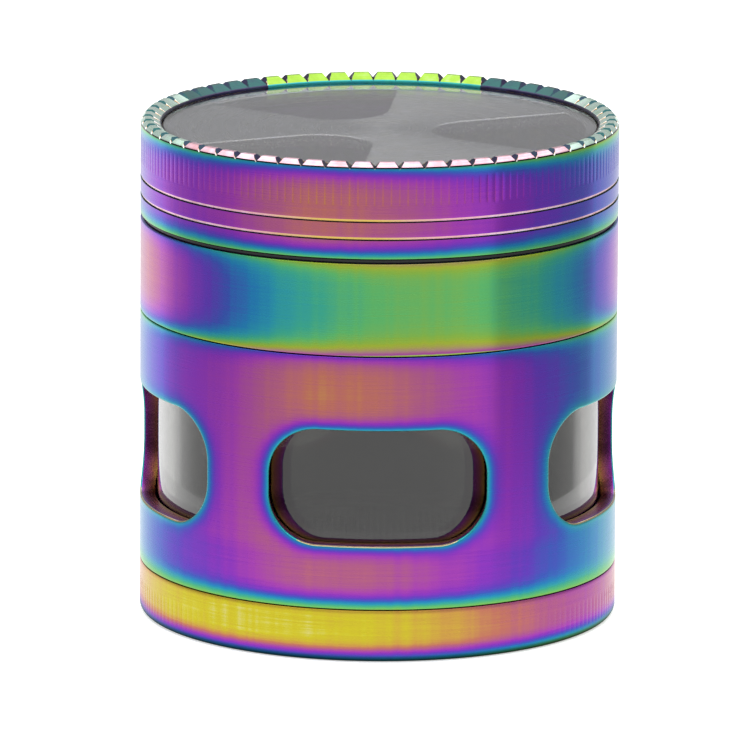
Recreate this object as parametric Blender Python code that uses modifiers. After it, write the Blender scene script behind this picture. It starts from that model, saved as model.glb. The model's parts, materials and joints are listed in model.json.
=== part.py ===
"""Four-piece herb grinder with a clear lid and five side windows.

The grinder stands on z = 0 with its axis on z.  Window one faces -Y.  From the
bottom up it is a tray, a windowed body around a clear liner, a grinding chamber
and a lid.  All turned pieces share SEGMENTS steps round the axis, so that their
facets stay parallel across every narrow gap.  Lengths are in millimetres until
a mesh is made.
"""

import math

import bmesh
import bpy
from mathutils import Matrix, Vector

MM = 0.001
SEGMENTS = 48
MERGE_DISTANCE = 0.00001

# Outer envelope
OUTER_RADIUS = 31.5
LID_TOP = 66.24
EDGE_BREAK = 0.2

# Heights where the four main pieces meet
TRAY_TOP = 6.95
BODY_BOTTOM = 7.05
BODY_TOP = 40.6
CHAMBER_BOTTOM = 40.72
CHAMBER_SHOULDER = 52.95
LID_BOTTOM = 53.55

# Screw threads: two right-hand threads with the same ridge
THREAD_PITCH = 1.5
RIDGE_BASE = 0.7
RIDGE_CREST = 0.3
RIDGE_HEIGHT = 0.7
RIDGE_BURIED = 0.15
THREAD_CLEARANCE = 1.0

# Tray and the spigot that screws into it
TRAY_FLOOR = 1.6
TRAY_BOWL_RADIUS = 27.8
TRAY_LEDGE = 3.3
TRAY_THREAD_ROOT = 29.35
TRAY_THREAD_START = 3.85
TRAY_THREAD_TURNS = 1.33
LOWER_SPIGOT_ROOT = TRAY_THREAD_ROOT - THREAD_CLEARANCE
LOWER_SPIGOT_END = 3.6
LOWER_SPIGOT_BORE = 27.0
LOWER_SPIGOT_TURNS = 1.2

# Windowed body
BODY_BORE = 29.4
BODY_LIP_BORE = 25.9
BODY_LIP_BOTTOM = 8.0
BODY_LIP_TOP = 9.0
BODY_THREAD_ROOT = 30.15
BODY_THREAD_BOTTOM = 35.6
BODY_THREAD_START = 36.2
BODY_THREAD_TURNS = 2.2
UPPER_SPIGOT_TURNS = 2.1
WINDOW_COUNT = 5
WINDOW_CENTRE = 23.15
WINDOW_HEIGHT = 15.3
WINDOW_HALF_ANGLE = 26.7
WINDOW_CORNER = 6.3
WINDOW_CUT_INNER = 24.0
WINDOW_CUT_OUTER = 34.0

# Clear liner behind the windows, with a soft ring at each end
LINER_INNER = 26.9
LINER_OUTER = 29.2
LINER_BOTTOM = 9.8
LINER_TOP = 34.8
SEAL_HEIGHT = 0.6
SEAL_GAP = 0.1

# Sieve and its snap ring
SIEVE_RADIUS = 26.85
SIEVE_BOTTOM = 7.55
SIEVE_TOP = 7.85
SNAP_RING_INNER = 25.9
SNAP_RING_BOTTOM = 6.2
SNAP_RING_TOP = 7.4
SNAP_RING_SPLIT = 6.0

# Scraper that lies in the tray
SCRAPER_RADIUS = 11.5
SCRAPER_LOBE = 0.14
SCRAPER_THICKNESS = 1.2
SCRAPER_PLACE = (6.0, -5.0)
SCRAPER_POINTS = 36
SCRAPER_TURN = 35.0

# Grinding chamber
CHAMBER_FLOOR_TOP = 48.0
CHAMBER_FLOOR_BOTTOM = 45.6
CHAMBER_BORE = 27.6
UPPER_SPIGOT_ROOT = BODY_THREAD_ROOT - THREAD_CLEARANCE
UPPER_SPIGOT_END = 35.7
UPPER_SPIGOT_BORE = 27.2
NECK_RADIUS = 28.9
NECK_TOP = 60.6
BOSS_RADIUS = 5.0
BOSS_TOP = 50.6
MAGNET_RADIUS = 3.0
MAGNET_HEIGHT = 2.0
MAGNET_GAP = 0.1
POCKET_RADIUS = 3.15
CHAMBER_POCKET_BOTTOM = 48.4
HOLE_RADIUS = 1.5
HOLE_SEGMENTS = 12
HOLE_TURN = 3.3
HOLE_RINGS = ((25.0, 16), (16.8, 12), (9.1, 6))

# Teeth: upright diamonds, pointed along the way they travel
TOOTH_WIDTH = 2.6
TOOTH_CHORD = 4.2
TOOTH_TIP = 0.72
TOOTH_BURIED = 0.3
CHAMBER_TOOTH_TOP = 59.4
CHAMBER_TOOTH_RINGS = ((21.0, 14), (12.5, 8))
LID_TOOTH_BOTTOM = 50.0
LID_TOOTH_ROWS = ((25.2, 4, 14.0), (16.8, 3, 18.0), (8.9, 1, 0.0))

# Ring that carries the lid on the chamber
FRICTION_RING_INNER = 29.1
FRICTION_RING_OUTER = 31.1
FRICTION_RING_BOTTOM = 53.05
FRICTION_RING_FLANGE_TOP = 53.45
FRICTION_SLEEVE_OUTER = 29.8
FRICTION_SLEEVE_TOP = 56.5

# Lid
SKIRT_COUNTERBORE = 30.0
SKIRT_COUNTERBORE_TOP = 56.9
SKIRT_BORE = 29.3
WEB_BOTTOM = 61.4
WEB_TOP = 63.0
LID_POST_BOTTOM = 51.4
LID_POCKET_TOP = 53.6
DISC_RADIUS = 28.0
DISC_POCKET_RADIUS = 28.1
DISC_BOTTOM = 63.1
DISC_TOP = 64.55
LINE_HEIGHTS = (58.52, 56.17)
LINE_HALF_WIDTH = 0.28
LINE_DEPTH = 0.38
WEB_OPENING_ANGLES = (115.0, 235.0, 355.0)
WEB_OPENING_HALF_ANGLE = 30.0
WEB_OPENING_INNER = 6.9
WEB_OPENING_OUTER = 27.0
WEB_OPENING_ARC_POINTS = 9

PARTS_COLLECTION = "herb_grinder"
CUTTERS_COLLECTION = "cutters"


# ---------------------------------------------------------------- scene set-up


def clear_scene():
    """Removes every object and the collections of an earlier run."""
    for item in list(bpy.data.objects):
        bpy.data.objects.remove(item, do_unlink=True)
    for name in (PARTS_COLLECTION, CUTTERS_COLLECTION):
        collection = bpy.data.collections.get(name)
        if collection is not None:
            bpy.data.collections.remove(collection)


def new_collection(name):
    """Adds a collection to the scene."""
    collection = bpy.data.collections.new(name)
    bpy.context.scene.collection.children.link(collection)
    return collection


def make_material(name, colour, roughness, metallic, alpha=1.0):
    """Makes a Principled material."""
    material = bpy.data.materials.new(name)
    material.use_nodes = True
    shader = material.node_tree.nodes["Principled BSDF"]
    shader.inputs["Base Color"].default_value = (*colour, 1.0)
    shader.inputs["Roughness"].default_value = roughness
    shader.inputs["Metallic"].default_value = metallic
    shader.inputs["Alpha"].default_value = alpha
    return material


def add_object(name, mesh, collection, material=None):
    """Puts a mesh in a collection as a named object."""
    item = bpy.data.objects.new(name, mesh)
    collection.objects.link(item)
    if material is not None:
        mesh.materials.append(material)
    return item


def mesh_from_bmesh(name, bm):
    """Turns a bmesh in millimetres into a mesh in metres."""
    bmesh.ops.scale(bm, vec=(MM, MM, MM), verts=bm.verts)
    bmesh.ops.recalc_face_normals(bm, faces=bm.faces)
    mesh = bpy.data.meshes.new(name)
    bm.to_mesh(mesh)
    bm.free()
    return mesh


def add_cutter(name, bm, cutters):
    """Makes a hidden wire-frame object for a Boolean."""
    cutter = add_object(name, mesh_from_bmesh(name, bm), cutters)
    cutter.hide_render = True
    cutter.display_type = "WIRE"
    return cutter


def add_boolean(item, cutter, operation):
    """Adds an exact Boolean of the given kind."""
    modifier = item.modifiers.new(cutter.name, "BOOLEAN")
    modifier.operation = operation
    modifier.object = cutter


# --------------------------------------------------------------- turned shapes


def arc(centre, radius, start, end, count):
    """Points on an arc in the (radius, height) plane, angles in degrees."""
    points = []
    for step in range(count + 1):
        angle = math.radians(start + (end - start) * step / count)
        x = centre[0] + radius * math.cos(angle)
        z = centre[1] + radius * math.sin(angle)
        points.append((x, z))
    return points


def turned(name, profile, collection, material, closed=False):
    """Turns a profile, which runs down its outer side, once round the axis."""
    mesh = bpy.data.meshes.new(name)
    vertices = [(radius * MM, 0.0, height * MM) for radius, height in profile]
    edges = [(index, index + 1) for index in range(len(profile) - 1)]
    if closed:
        edges.append((len(profile) - 1, 0))
    mesh.from_pydata(vertices, edges, [])
    item = add_object(name, mesh, collection, material)
    screw = item.modifiers.new("turn", "SCREW")
    screw.axis = "Z"
    screw.steps = SEGMENTS
    screw.render_steps = SEGMENTS
    screw.use_merge_vertices = True
    screw.merge_threshold = MERGE_DISTANCE
    screw.use_smooth_shade = True
    return item


def ring_profile(inner, outer, bottom, top):
    """A rectangular section, down its outer side first."""
    return [(outer, top), (outer, bottom), (inner, bottom), (inner, top)]


def thread_ridge(name, root, direction, start, turns, cutters):
    """A helical ridge on a wall.

    root is the wall's radius and direction is 1 for a ridge that points away
    from the axis, -1 for one that points at it.  start is the ridge's centre
    height on the +X side, where its first turn begins.
    """
    steps = round(turns * SEGMENTS)
    crest = root + direction * RIDGE_HEIGHT
    buried = root - direction * RIDGE_BURIED
    section = [
        (buried, start - RIDGE_BASE / 2),
        (crest, start - RIDGE_CREST / 2),
        (crest, start + RIDGE_CREST / 2),
        (buried, start + RIDGE_BASE / 2),
    ]
    bm = bmesh.new()
    corners = [bm.verts.new((radius, 0.0, height)) for radius, height in section]
    face = bm.faces.new(corners)
    bmesh.ops.spin(
        bm,
        geom=[face] + list(face.edges) + corners,
        cent=(0.0, 0.0, 0.0),
        axis=(0.0, 0.0, 1.0),
        dvec=(0.0, 0.0, THREAD_PITCH / SEGMENTS),
        angle=math.tau * steps / SEGMENTS,
        steps=steps,
        use_merge=False,
        use_duplicate=False,
    )
    return add_cutter(name, bm, cutters)


# ------------------------------------------------------------- repeated shapes


def add_prism(bm, outline, bottom, top):
    """Adds an upright prism over a flat outline."""
    base = [bm.verts.new((x, y, bottom)) for x, y in outline]
    face = bm.faces.new(base)
    raised = bmesh.ops.extrude_face_region(bm, geom=[face])
    lifted = [part for part in raised["geom"] if isinstance(part, bmesh.types.BMVert)]
    bmesh.ops.translate(bm, vec=(0.0, 0.0, top - bottom), verts=lifted)


def add_tooth(bm, radius, angle, base, tip):
    """Adds one diamond tooth that tapers from its base to its tip."""
    centre = (base + tip) / 2
    made = bmesh.ops.create_cone(
        bm,
        cap_ends=True,
        segments=4,
        radius1=1.0,
        radius2=TOOTH_TIP,
        depth=abs(tip - base),
    )
    size = Matrix.Diagonal((TOOTH_WIDTH / 2, TOOTH_CHORD / 2, 1.0, 1.0))
    flip = Matrix.Rotation(0.0 if tip > base else math.pi, 4, "X")
    place = Matrix.Translation((radius, 0.0, centre))
    turn = Matrix.Rotation(math.radians(angle), 4, "Z")
    bmesh.ops.transform(bm, matrix=turn @ place @ size @ flip, verts=made["verts"])


def chamber_tooth_places():
    """Radius and angle of each tooth on the chamber's floor."""
    places = []
    for radius, count in CHAMBER_TOOTH_RINGS:
        for index in range(count):
            places.append((radius, 360.0 * (index + 0.5) / count))
    return places


def lid_tooth_places():
    """Radius and angle of each tooth on the lid's three solid sectors."""
    places = []
    for opening in WEB_OPENING_ANGLES:
        middle = opening + 60.0
        for radius, count, spacing in LID_TOOTH_ROWS:
            for index in range(count):
                offset = (index - (count - 1) / 2) * spacing
                places.append((radius, middle + offset))
    return places


def teeth(name, places, base, tip, cutters):
    """All teeth of one piece as an operand for its union."""
    bm = bmesh.new()
    for radius, angle in places:
        add_tooth(bm, radius, angle, base, tip)
    return add_cutter(name, bm, cutters)


def floor_holes(cutters):
    """Drills for the holes through which ground herb falls."""
    bm = bmesh.new()
    depth = CHAMBER_FLOOR_TOP - CHAMBER_FLOOR_BOTTOM + 1.0
    height = (CHAMBER_FLOOR_TOP + CHAMBER_FLOOR_BOTTOM) / 2
    for radius, count in HOLE_RINGS:
        for index in range(count):
            angle = math.tau * index / count + math.radians(HOLE_TURN)
            made = bmesh.ops.create_cone(
                bm,
                cap_ends=True,
                segments=HOLE_SEGMENTS,
                radius1=HOLE_RADIUS,
                radius2=HOLE_RADIUS,
                depth=depth,
            )
            place = (radius * math.cos(angle), radius * math.sin(angle), height)
            bmesh.ops.translate(bm, vec=place, verts=made["verts"])
    return add_cutter("floor_holes", bm, cutters)


def window_cutters(cutters):
    """Five rounded blocks, one through the wall at each window."""
    half_width = OUTER_RADIUS * math.sin(math.radians(WINDOW_HALF_ANGLE))
    depth = WINDOW_CUT_OUTER - WINDOW_CUT_INNER
    middle = (WINDOW_CUT_OUTER + WINDOW_CUT_INNER) / 2
    bm = bmesh.new()
    for index in range(WINDOW_COUNT):
        angle = math.tau * index / WINDOW_COUNT - math.pi / 2
        made = bmesh.ops.create_cube(bm, size=1.0)
        corners = made["verts"]
        size = Matrix.Diagonal((depth, 2 * half_width, WINDOW_HEIGHT, 1.0))
        bmesh.ops.transform(bm, matrix=size, verts=corners)
        radial = []
        for edge in {edge for corner in corners for edge in corner.link_edges}:
            along = edge.verts[0].co - edge.verts[1].co
            if abs(along.x) > depth / 2:
                radial.append(edge)
        shaped = bmesh.ops.bevel(
            bm,
            geom=radial,
            offset=WINDOW_CORNER,
            offset_type="OFFSET",
            segments=5,
            profile=0.5,
            affect="EDGES",
        )
        block = {corner for corner in corners if corner.is_valid}
        block.update(shaped["verts"])
        turn = Matrix.Rotation(angle, 4, "Z")
        place = Matrix.Translation((middle, 0.0, WINDOW_CENTRE))
        bmesh.ops.transform(bm, matrix=turn @ place, verts=list(block))
    return add_cutter("windows", bm, cutters)


def sector_outline(direction):
    """Outline of one opening in the lid's web.

    Its sides are radii, its outer side is an arc about the axis, and its inner
    end is the circle that touches both sides.
    """
    half = math.radians(WEB_OPENING_HALF_ANGLE)
    end_radius = WEB_OPENING_INNER * math.sin(half) / (1.0 - math.sin(half))
    end_centre = end_radius / math.sin(half)
    middle = math.radians(direction)
    points = []
    for step in range(WEB_OPENING_ARC_POINTS):
        share = step / (WEB_OPENING_ARC_POINTS - 1)
        angle = middle - half + 2 * half * share
        x = WEB_OPENING_OUTER * math.cos(angle)
        y = WEB_OPENING_OUTER * math.sin(angle)
        points.append((x, y))
    for step in range(WEB_OPENING_ARC_POINTS):
        share = step / (WEB_OPENING_ARC_POINTS - 1)
        swing = math.pi / 2 + half + (math.pi - 2 * half) * share
        x = end_centre * math.cos(middle) + end_radius * math.cos(middle + swing)
        y = end_centre * math.sin(middle) + end_radius * math.sin(middle + swing)
        points.append((x, y))
    return points


def web_openings(cutters):
    """Cutters for the three openings under the clear disc."""
    bm = bmesh.new()
    for direction in WEB_OPENING_ANGLES:
        add_prism(bm, sector_outline(direction), WEB_BOTTOM - 0.5, WEB_TOP + 0.5)
    return add_cutter("web_openings", bm, cutters)


# ------------------------------------------------------------------ sub-parts


def build_tray(parts, cutters, metal):
    """Shallow threaded tray that catches what falls through the sieve."""
    bowl = arc((TRAY_BOWL_RADIUS - 1.2, TRAY_FLOOR + 1.2), 1.2, -90.0, 0.0, 4)
    heel = arc((OUTER_RADIUS - 1.0, 1.0), 1.0, 0.0, -90.0, 5)
    profile = [(0.0, TRAY_FLOOR)]
    profile += bowl
    profile += [
        (TRAY_BOWL_RADIUS, TRAY_LEDGE),
        (TRAY_THREAD_ROOT, TRAY_LEDGE),
        (TRAY_THREAD_ROOT, TRAY_TOP - 0.6),
        (TRAY_THREAD_ROOT + 0.55, TRAY_TOP),
        (OUTER_RADIUS - EDGE_BREAK, TRAY_TOP),
        (OUTER_RADIUS, TRAY_TOP - EDGE_BREAK),
    ]
    profile += heel
    profile.append((0.0, 0.0))
    tray = turned("tray", profile, parts, metal)
    ridge = thread_ridge(
        "tray_thread",
        TRAY_THREAD_ROOT,
        -1,
        TRAY_THREAD_START,
        TRAY_THREAD_TURNS,
        cutters,
    )
    add_boolean(tray, ridge, "UNION")
    return tray


def build_scraper(parts, plastic):
    """Three-sided scraper with rounded corners, cut from a flat sheet."""
    curve = bpy.data.curves.new("scraper_outline", "CURVE")
    curve.dimensions = "2D"
    curve.fill_mode = "BOTH"
    curve.extrude = SCRAPER_THICKNESS / 2 * MM
    outline = curve.splines.new("POLY")
    outline.points.add(SCRAPER_POINTS - 1)
    outline.use_cyclic_u = True
    for index in range(SCRAPER_POINTS):
        angle = math.tau * index / SCRAPER_POINTS
        radius = SCRAPER_RADIUS * (1.0 + SCRAPER_LOBE * math.cos(3 * angle)) * MM
        place = (radius * math.cos(angle), radius * math.sin(angle), 0.0, 1.0)
        outline.points[index].co = place
    guide = bpy.data.objects.new("scraper_outline", curve)
    parts.objects.link(guide)
    bpy.context.view_layer.update()
    depsgraph = bpy.context.evaluated_depsgraph_get()
    mesh = bpy.data.meshes.new_from_object(guide.evaluated_get(depsgraph))
    bpy.data.objects.remove(guide, do_unlink=True)
    bm = bmesh.new()
    bm.from_mesh(mesh)
    bmesh.ops.remove_doubles(bm, verts=bm.verts, dist=MERGE_DISTANCE)
    bmesh.ops.recalc_face_normals(bm, faces=bm.faces)
    bm.to_mesh(mesh)
    bm.free()
    scraper = add_object("scraper", mesh, parts, plastic)
    height = TRAY_FLOOR + SEAL_GAP + SCRAPER_THICKNESS / 2
    scraper.location = Vector((*SCRAPER_PLACE, height)) * MM
    scraper.rotation_euler.z = math.radians(SCRAPER_TURN)
    return scraper


def build_window_body(parts, cutters, metal):
    """Tube with five windows, a lower spigot and an upper thread."""
    profile = [
        (OUTER_RADIUS - EDGE_BREAK, BODY_TOP),
        (OUTER_RADIUS, BODY_TOP - EDGE_BREAK),
        (OUTER_RADIUS, BODY_BOTTOM + EDGE_BREAK),
        (OUTER_RADIUS - EDGE_BREAK, BODY_BOTTOM),
        (LOWER_SPIGOT_ROOT, BODY_BOTTOM),
        (LOWER_SPIGOT_ROOT, LOWER_SPIGOT_END + 0.3),
        (LOWER_SPIGOT_ROOT - 0.3, LOWER_SPIGOT_END),
        (LOWER_SPIGOT_BORE + 0.3, LOWER_SPIGOT_END),
        (LOWER_SPIGOT_BORE, LOWER_SPIGOT_END + 0.3),
        (LOWER_SPIGOT_BORE, BODY_LIP_BOTTOM),
        (BODY_LIP_BORE, BODY_LIP_BOTTOM),
        (BODY_LIP_BORE, BODY_LIP_TOP),
        (BODY_BORE, BODY_LIP_TOP),
        (BODY_BORE, BODY_THREAD_BOTTOM),
        (BODY_THREAD_ROOT, BODY_THREAD_BOTTOM),
        (BODY_THREAD_ROOT, BODY_TOP - 0.6),
        (BODY_THREAD_ROOT + 0.45, BODY_TOP),
    ]
    body = turned("window_body", profile, parts, metal, closed=True)
    lower = thread_ridge(
        "lower_spigot_thread",
        LOWER_SPIGOT_ROOT,
        1,
        TRAY_THREAD_START + THREAD_PITCH / 2,
        LOWER_SPIGOT_TURNS,
        cutters,
    )
    upper = thread_ridge(
        "body_thread",
        BODY_THREAD_ROOT,
        -1,
        BODY_THREAD_START,
        BODY_THREAD_TURNS,
        cutters,
    )
    add_boolean(body, window_cutters(cutters), "DIFFERENCE")
    add_boolean(body, lower, "UNION")
    add_boolean(body, upper, "UNION")
    return body


def build_sieve(parts, mesh_metal):
    """Fine screen under the body's lip."""
    profile = [
        (0.0, SIEVE_TOP),
        (SIEVE_RADIUS, SIEVE_TOP),
        (SIEVE_RADIUS, SIEVE_BOTTOM),
        (0.0, SIEVE_BOTTOM),
    ]
    return turned("sieve_screen", profile, parts, mesh_metal)


def build_snap_ring(parts, cutters, spring_metal):
    """Split ring that springs into the spigot and holds the sieve up."""
    profile = ring_profile(SNAP_RING_INNER, SIEVE_RADIUS, SNAP_RING_BOTTOM, SNAP_RING_TOP)
    ring = turned("sieve_snap_ring", profile, parts, spring_metal, closed=True)
    bm = bmesh.new()
    made = bmesh.ops.create_cube(bm, size=1.0)
    size = Matrix.Diagonal((SNAP_RING_SPLIT, 6.0, 4.0, 1.0))
    place = Matrix.Translation((0.0, SIEVE_RADIUS, SNAP_RING_TOP))
    bmesh.ops.transform(bm, matrix=place @ size, verts=made["verts"])
    add_boolean(ring, add_cutter("ring_split", bm, cutters), "DIFFERENCE")
    return ring


def build_liner(parts, clear_plastic, soft):
    """Clear tube behind the windows, and the soft rings at its two ends."""
    tube = ring_profile(LINER_INNER, LINER_OUTER, LINER_BOTTOM, LINER_TOP)
    turned("window_liner", tube, parts, clear_plastic, closed=True)
    low = LINER_BOTTOM - SEAL_GAP - SEAL_HEIGHT
    lower = ring_profile(LINER_INNER, LINER_OUTER, low, low + SEAL_HEIGHT)
    turned("lower_liner_seal", lower, parts, soft, closed=True)
    high = LINER_TOP + SEAL_GAP
    upper = ring_profile(LINER_INNER, LINER_OUTER, high, high + SEAL_HEIGHT)
    turned("upper_liner_seal", upper, parts, soft, closed=True)


def build_chamber(parts, cutters, metal):
    """Toothed chamber with a threaded spigot below and a neck above."""
    profile = [
        (0.0, CHAMBER_POCKET_BOTTOM),
        (POCKET_RADIUS, CHAMBER_POCKET_BOTTOM),
        (POCKET_RADIUS, BOSS_TOP),
        (BOSS_RADIUS, BOSS_TOP),
        (BOSS_RADIUS, CHAMBER_FLOOR_TOP),
        (CHAMBER_BORE - 0.4, CHAMBER_FLOOR_TOP),
        (CHAMBER_BORE, CHAMBER_FLOOR_TOP + 0.4),
        (CHAMBER_BORE, NECK_TOP - 0.3),
        (CHAMBER_BORE + 0.3, NECK_TOP),
        (NECK_RADIUS - 0.3, NECK_TOP),
        (NECK_RADIUS, NECK_TOP - 0.3),
        (NECK_RADIUS, CHAMBER_SHOULDER),
        (OUTER_RADIUS - EDGE_BREAK, CHAMBER_SHOULDER),
        (OUTER_RADIUS, CHAMBER_SHOULDER - EDGE_BREAK),
        (OUTER_RADIUS, CHAMBER_BOTTOM + EDGE_BREAK),
        (OUTER_RADIUS - EDGE_BREAK, CHAMBER_BOTTOM),
        (UPPER_SPIGOT_ROOT, CHAMBER_BOTTOM),
        (UPPER_SPIGOT_ROOT, UPPER_SPIGOT_END + 0.3),
        (UPPER_SPIGOT_ROOT - 0.3, UPPER_SPIGOT_END),
        (UPPER_SPIGOT_BORE + 0.3, UPPER_SPIGOT_END),
        (UPPER_SPIGOT_BORE, UPPER_SPIGOT_END + 0.4),
        (UPPER_SPIGOT_BORE, CHAMBER_FLOOR_BOTTOM),
        (0.0, CHAMBER_FLOOR_BOTTOM),
    ]
    chamber = turned("grinding_chamber", profile, parts, metal)
    base = CHAMBER_FLOOR_TOP - TOOTH_BURIED
    stubs = teeth("chamber_teeth", chamber_tooth_places(), base, CHAMBER_TOOTH_TOP, cutters)
    ridge = thread_ridge(
        "upper_spigot_thread",
        UPPER_SPIGOT_ROOT,
        1,
        BODY_THREAD_START + THREAD_PITCH / 2,
        UPPER_SPIGOT_TURNS,
        cutters,
    )
    add_boolean(chamber, floor_holes(cutters), "DIFFERENCE")
    add_boolean(chamber, stubs, "UNION")
    add_boolean(chamber, ridge, "UNION")
    return chamber


def build_magnet(name, bottom, parts, metal):
    """Disc magnet that holds the lid down."""
    top = bottom + MAGNET_HEIGHT
    profile = [(0.0, top), (MAGNET_RADIUS, top), (MAGNET_RADIUS, bottom), (0.0, bottom)]
    return turned(name, profile, parts, metal)


def build_friction_ring(parts, plastic):
    """Flanged ring that the lid slides round on."""
    profile = [
        (FRICTION_SLEEVE_OUTER, FRICTION_SLEEVE_TOP),
        (FRICTION_SLEEVE_OUTER, FRICTION_RING_FLANGE_TOP),
        (FRICTION_RING_OUTER, FRICTION_RING_FLANGE_TOP),
        (FRICTION_RING_OUTER, FRICTION_RING_BOTTOM),
        (FRICTION_RING_INNER, FRICTION_RING_BOTTOM),
        (FRICTION_RING_INNER, FRICTION_SLEEVE_TOP),
    ]
    return turned("friction_ring", profile, parts, plastic, closed=True)


def build_lid(parts, cutters, metal):
    """Lid with a coined rim, a pierced web under the disc, a post and teeth."""
    profile = [
        (0.0, WEB_TOP),
        (DISC_POCKET_RADIUS, WEB_TOP),
        (DISC_POCKET_RADIUS, DISC_TOP + 0.05),
        (OUTER_RADIUS - 2.7, LID_TOP - 0.84),
        (OUTER_RADIUS - 1.3, LID_TOP),
        (OUTER_RADIUS - 0.6, LID_TOP),
        (OUTER_RADIUS, LID_TOP - 0.64),
    ]
    for height in LINE_HEIGHTS:
        profile += [
            (OUTER_RADIUS, height + LINE_HALF_WIDTH),
            (OUTER_RADIUS - LINE_DEPTH, height),
            (OUTER_RADIUS, height - LINE_HALF_WIDTH),
        ]
    profile += [
        (OUTER_RADIUS, LID_BOTTOM + EDGE_BREAK),
        (OUTER_RADIUS - EDGE_BREAK, LID_BOTTOM),
        (SKIRT_COUNTERBORE, LID_BOTTOM),
        (SKIRT_COUNTERBORE, SKIRT_COUNTERBORE_TOP),
        (SKIRT_BORE, SKIRT_COUNTERBORE_TOP),
        (SKIRT_BORE, WEB_BOTTOM),
        (BOSS_RADIUS, WEB_BOTTOM),
        (BOSS_RADIUS, LID_POST_BOTTOM),
        (POCKET_RADIUS, LID_POST_BOTTOM),
        (POCKET_RADIUS, LID_POCKET_TOP),
        (0.0, LID_POCKET_TOP),
    ]
    lid = turned("lid", profile, parts, metal)
    base = WEB_BOTTOM + TOOTH_BURIED
    stubs = teeth("lid_teeth", lid_tooth_places(), base, LID_TOOTH_BOTTOM, cutters)
    add_boolean(lid, web_openings(cutters), "DIFFERENCE")
    add_boolean(lid, stubs, "UNION")
    return lid


def build_lid_window(parts, clear_plastic):
    """Clear disc let into the lid."""
    profile = [
        (0.0, DISC_TOP),
        (DISC_RADIUS - EDGE_BREAK, DISC_TOP),
        (DISC_RADIUS, DISC_TOP - EDGE_BREAK),
        (DISC_RADIUS, DISC_BOTTOM),
        (0.0, DISC_BOTTOM),
    ]
    return turned("lid_window", profile, parts, clear_plastic)


def main():
    """Builds every sub-part."""
    clear_scene()
    parts = new_collection(PARTS_COLLECTION)
    cutters = new_collection(CUTTERS_COLLECTION)

    tray_metal = make_material("tray_coating", (0.52, 0.33, 0.08), 0.28, 1.0)
    body_metal = make_material("body_coating", (0.33, 0.06, 0.37), 0.28, 1.0)
    chamber_metal = make_material("chamber_coating", (0.12, 0.37, 0.12), 0.28, 1.0)
    lid_metal = make_material("lid_coating", (0.40, 0.13, 0.27), 0.28, 1.0)
    steel = make_material("stainless_steel", (0.55, 0.55, 0.56), 0.35, 1.0)
    magnet_metal = make_material("magnet_nickel", (0.62, 0.60, 0.57), 0.25, 1.0)
    smoked = make_material("smoked_clear_plastic", (0.30, 0.30, 0.32), 0.08, 0.0, 0.45)
    clear = make_material("clear_plastic", (0.45, 0.45, 0.46), 0.08, 0.0, 0.4)
    black_plastic = make_material("black_plastic", (0.012, 0.012, 0.013), 0.45, 0.0)
    soft_rubber = make_material("soft_rubber", (0.03, 0.03, 0.03), 0.7, 0.0)

    build_tray(parts, cutters, tray_metal)
    build_scraper(parts, black_plastic)
    build_window_body(parts, cutters, body_metal)
    build_sieve(parts, steel)
    build_snap_ring(parts, cutters, steel)
    build_liner(parts, clear, soft_rubber)
    build_chamber(parts, cutters, chamber_metal)
    build_magnet("chamber_magnet", CHAMBER_POCKET_BOTTOM + MAGNET_GAP, parts, magnet_metal)
    build_friction_ring(parts, black_plastic)
    build_lid(parts, cutters, lid_metal)
    build_lid_window(parts, smoked)
    lid_magnet_bottom = LID_POCKET_TOP - MAGNET_GAP - MAGNET_HEIGHT
    build_magnet("lid_magnet", lid_magnet_bottom, parts, magnet_metal)


main()
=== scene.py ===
"""Looks of the four-piece herb grinder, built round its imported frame.

Every piece is a surface worked out from its own radii and heights in millimetres,
turned round the axis or ringed round an opening, and made a mesh in metres.
"""

import json
import math

import bpy
import numpy as np
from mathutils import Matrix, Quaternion, Vector

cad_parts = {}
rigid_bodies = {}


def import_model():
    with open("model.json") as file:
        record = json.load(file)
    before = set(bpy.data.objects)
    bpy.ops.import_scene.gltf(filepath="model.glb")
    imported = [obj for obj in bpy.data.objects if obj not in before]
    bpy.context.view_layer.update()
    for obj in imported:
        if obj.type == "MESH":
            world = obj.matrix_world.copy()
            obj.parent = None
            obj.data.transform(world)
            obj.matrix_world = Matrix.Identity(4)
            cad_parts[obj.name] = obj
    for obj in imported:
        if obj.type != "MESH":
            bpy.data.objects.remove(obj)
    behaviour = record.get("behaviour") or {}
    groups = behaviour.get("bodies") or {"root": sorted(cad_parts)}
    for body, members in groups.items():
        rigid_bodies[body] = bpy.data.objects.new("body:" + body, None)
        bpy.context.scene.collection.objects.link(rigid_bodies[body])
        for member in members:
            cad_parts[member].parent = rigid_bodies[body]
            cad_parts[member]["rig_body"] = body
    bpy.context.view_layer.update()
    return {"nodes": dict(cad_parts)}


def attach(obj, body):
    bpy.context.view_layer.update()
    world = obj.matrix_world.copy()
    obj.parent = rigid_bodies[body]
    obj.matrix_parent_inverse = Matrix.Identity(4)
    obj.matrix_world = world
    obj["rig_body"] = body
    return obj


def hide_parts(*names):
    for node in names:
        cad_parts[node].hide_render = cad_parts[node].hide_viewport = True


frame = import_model()

MM = 0.001
TAU = 2.0 * np.pi

# Edges stay sharp above this angle, in degrees.  Points closer than WELD, in
# millimetres, become one, and the shift keeps round values off the weld's borders.
SHARP_ANGLE = 28.0
WELD = 0.002
WELD_SHIFT = 0.00037

# Radius of the outer wall that all four metal pieces share, and of the body's bore.
WALL = 31.5
BORE = 29.4

# ------------------------------------------------------------ the gathered mesh


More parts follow.
